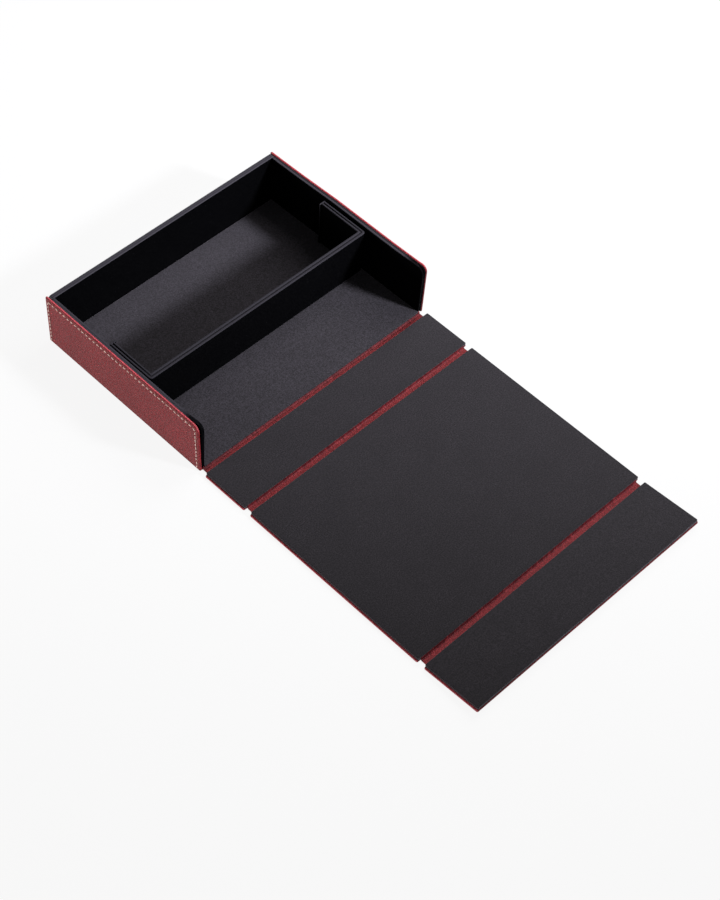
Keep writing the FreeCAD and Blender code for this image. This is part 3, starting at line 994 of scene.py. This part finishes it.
def u_outline(half_width, front, end, radius):
    """Points of a U open towards +Y, from its left end round to its right end."""
    right = [(half_width - radius, front)]
    for k in range(1, BEND_ARC):
        angle = math.pi / 2 * k / BEND_ARC
        right.append((half_width - radius * (1 - math.sin(angle)), front + radius * (1 - math.cos(angle))))
    right += [(half_width, front + radius), (half_width, end)]
    return [(-x, y) for x, y in reversed(right)] + right


def ribbon(outer, inner, z0, z1, crown):
    """Points and faces of a board standing between two outlines, with a rounded top."""
    profile = [(0.0, z0), (0.0, z1 - crown)]
    for k in range(1, CROWN_ARC):
        angle = math.pi / 2 * k / CROWN_ARC
        profile.append((crown * (1 - math.cos(angle)), z1 - crown * (1 - math.sin(angle))))
    points = []
    for a, b in zip(outer, inner):
        across = Vector((b[0] - a[0], b[1] - a[1]))
        width = across.length
        across.normalize()
        section = profile + [(width - inset, z) for inset, z in reversed(profile)]
        points += [(a[0] + across.x * inset, a[1] + across.y * inset, z) for inset, z in section]
    return points, sleeve(len(outer), 2 * len(profile))


def settled(point, low, high):
    """The divider as photographed: its wall leans forward, and its legs stand a little to the right."""
    x, y, z = point
    shift = DIVIDER_LEG_SHIFT[0] if x < 0 else DIVIDER_LEG_SHIFT[1]
    lean = DIVIDER_LEAN * share_of(y, *DIVIDER_LEAN_ZONE)
    return (x + shift * share_of(abs(x), *DIVIDER_LEG_ZONE), y - lean * (z - low.z) / (high.z - low.z), z)


def filled(point, top):
    """A point of the seam's core, raised at its top along the wall, where the seam is filled higher."""
    x, y, z = point
    return (x, y, z + (DIVIDER_SEAM_FILL if z > top - 1 and y <= DIVIDER_WALL_END else 0.0))


def divider():
    """Two thin boards back to back, bent round as a U; the inner one's ends are turned inwards."""
    low, high = span("divider_outer_board")
    core_low, core_high = span("divider_core")
    leg_end = span("divider_inner_board")[1].y - DIVIDER_FLANGE
    outer_path, seam_path, back_path, inner_path = (
        u_outline(half_width, front, leg_end - DIVIDER_GAP, radius)
        for half_width, front, radius in (
            (high.x, low.y, DIVIDER_CORNER),
            (core_high.x, core_low.y, DIVIDER_SEAM_CORNER),
            (core_high.x - DIVIDER_CORE, core_low.y + DIVIDER_CORE, DIVIDER_BACK_CORNER),
            (DIVIDER_LEG_INNER, DIVIDER_WALL_INNER, DIVIDER_INNER_CORNER),
        )
    )
    outer = ribbon(outer_path, seam_path, low.z, high.z, DIVIDER_CROWN)
    inner = ribbon(back_path, inner_path, low.z, high.z, DIVIDER_CROWN)
    points, core_faces = ribbon(seam_path, back_path, core_low.z, core_high.z, DIVIDER_SEAM_CROWN)
    core_points = [filled(point, core_high.z) for point in points]
    lips = []
    for sign in (-1, 1):
        ends = [(sign * (high.x - DIVIDER_LIP_STEP), leg_end), (sign * DIVIDER_LIP, leg_end)][::sign]
        far = [(x, leg_end + DIVIDER_FLANGE) for x, _ in ends]
        lips.append(ribbon(far, ends, low.z, high.z - DIVIDER_LIP_STEP, DIVIDER_LIP_CROWN))
    for name, node, (points, faces), slot, side_light in (
        ("divider_outer_suede", "divider_outer_board", outer, "black_suede", 0.0),
        ("divider_inner_suede", "divider_inner_board", joined(inner, *lips), "black_suede", 0.0),
        ("divider_seam", "divider_core", (core_points, core_faces), "greyboard", DIVIDER_SEAM_LIGHT),
    ):
        piece = mesh_piece(
            name, [settled(point, low, high) for point in points], faces, shaded_suede,
            body="divider", replaces=[node], slot=slot,
        )
        # painted light on the top rims, and all over the seam's sides
        mark_painted_light(piece, lambda p: DIVIDER_RIM_LIGHT if p.z > high.z - RIM_DEPTH else side_light)


divider()


# ------------------------------ floor, light and camera

def stage_floor():
    """Pale floor that the camera sees near white, with the object's shadow kept on it."""
    paint = Paint("studio_floor")
    paint.finish((0.8, 0.8, 0.8, 1), 0.9, Specular_IOR_Level=0.1)
    white = paint.node("ShaderNodeEmission", Color=(1, 1, 1, 1), Strength=1.0)
    ray = paint.node("ShaderNodeLightPath").outputs
    mirrored = paint.maths("MAXIMUM", ray["Is Glossy Ray"], ray["Is Transmission Ray"])
    seen = paint.maths("MAXIMUM", ray["Is Camera Ray"], mirrored)
    mixed = paint.node("ShaderNodeMixShader", Fac=paint.maths("MULTIPLY", seen, FLOOR_WHITE))
    paint.feed(mixed.inputs[1], paint.shader.outputs[0])
    paint.feed(mixed.inputs[2], white.outputs[0])
    paint.feed(paint.tree.nodes["Material Output"].inputs["Surface"], mixed.outputs[0])
    bpy.ops.mesh.primitive_plane_add(size=FLOOR_SIZE, location=(0, 0, -FLOOR_DROP))
    floor = bpy.context.object
    floor.name = "studio_floor"
    floor.data.materials.append(paint.material)


def lamp(name, kind, place, aim, power, colour, **values):
    """Lamp at a place in metres, aimed at another, with power in watts and its kind's other values."""
    data = bpy.data.lights.new(name, kind)
    data.energy = power
    data.color = colour
    for label, value in values.items():
        setattr(data, label, value)
    light = bpy.data.objects.new(name, data)
    light.location = place
    light.rotation_euler = (Vector(place) - Vector(aim)).to_track_quat("Z", "Y").to_euler()
    bpy.context.scene.collection.objects.link(light)


def studio():
    """Even fill, a softbox high on the right, a low one far back on the left, and the key in front."""
    stage_floor()
    lamp(
        "above", "AREA", place=(0.62, -0.05, 0.70), aim=(0, -0.05, 0), power=6.1,
        colour=(1.0, 0.965, 0.975), shape="SQUARE", size=0.60,
    )
    lamp(
        "left", "AREA", place=(-1.25, 0.65, 0.05), aim=(-0.1, 0.0, 0.02), power=10.8,
        colour=(1.0, 0.99, 0.98), shape="SQUARE", size=0.3,
    )
    lamp(
        "key", "SPOT", place=(0.95, -2.01, 1.33), aim=(0.12, 0.60, 0.0), power=515.0,
        colour=(0.91, 0.925, 1.0), shadow_soft_size=0.18, spot_size=math.radians(33), spot_blend=1.0,
    )
    world = bpy.data.worlds.new("studio")
    bpy.context.scene.world = world
    world.use_nodes = True
    background = world.node_tree.nodes["Background"]
    background.inputs["Color"].default_value = (1, 1, 1, 1)
    background.inputs["Strength"].default_value = FILL_STRENGTH
    bpy.context.scene.view_settings.view_transform = "Standard"


def camera():
    """Camera at the photograph's place and angle."""
    data = bpy.data.cameras.new("camera")
    data.sensor_width = CAMERA_SENSOR
    data.lens = CAMERA_LENS
    eye = bpy.data.objects.new("camera", data)
    eye.matrix_world = (
        Matrix.Translation(CAMERA_PLACE)
        @ Matrix.Rotation(math.radians(CAMERA_AZIMUTH), 4, "Z")
        @ Matrix.Rotation(math.radians(90 - CAMERA_ELEVATION), 4, "X")
        @ Matrix.Rotation(math.radians(CAMERA_ROLL), 4, "Z")
    )
    bpy.context.scene.collection.objects.link(eye)
    bpy.context.scene.camera = eye


studio()
camera()

bpy.context.view_layer.update()
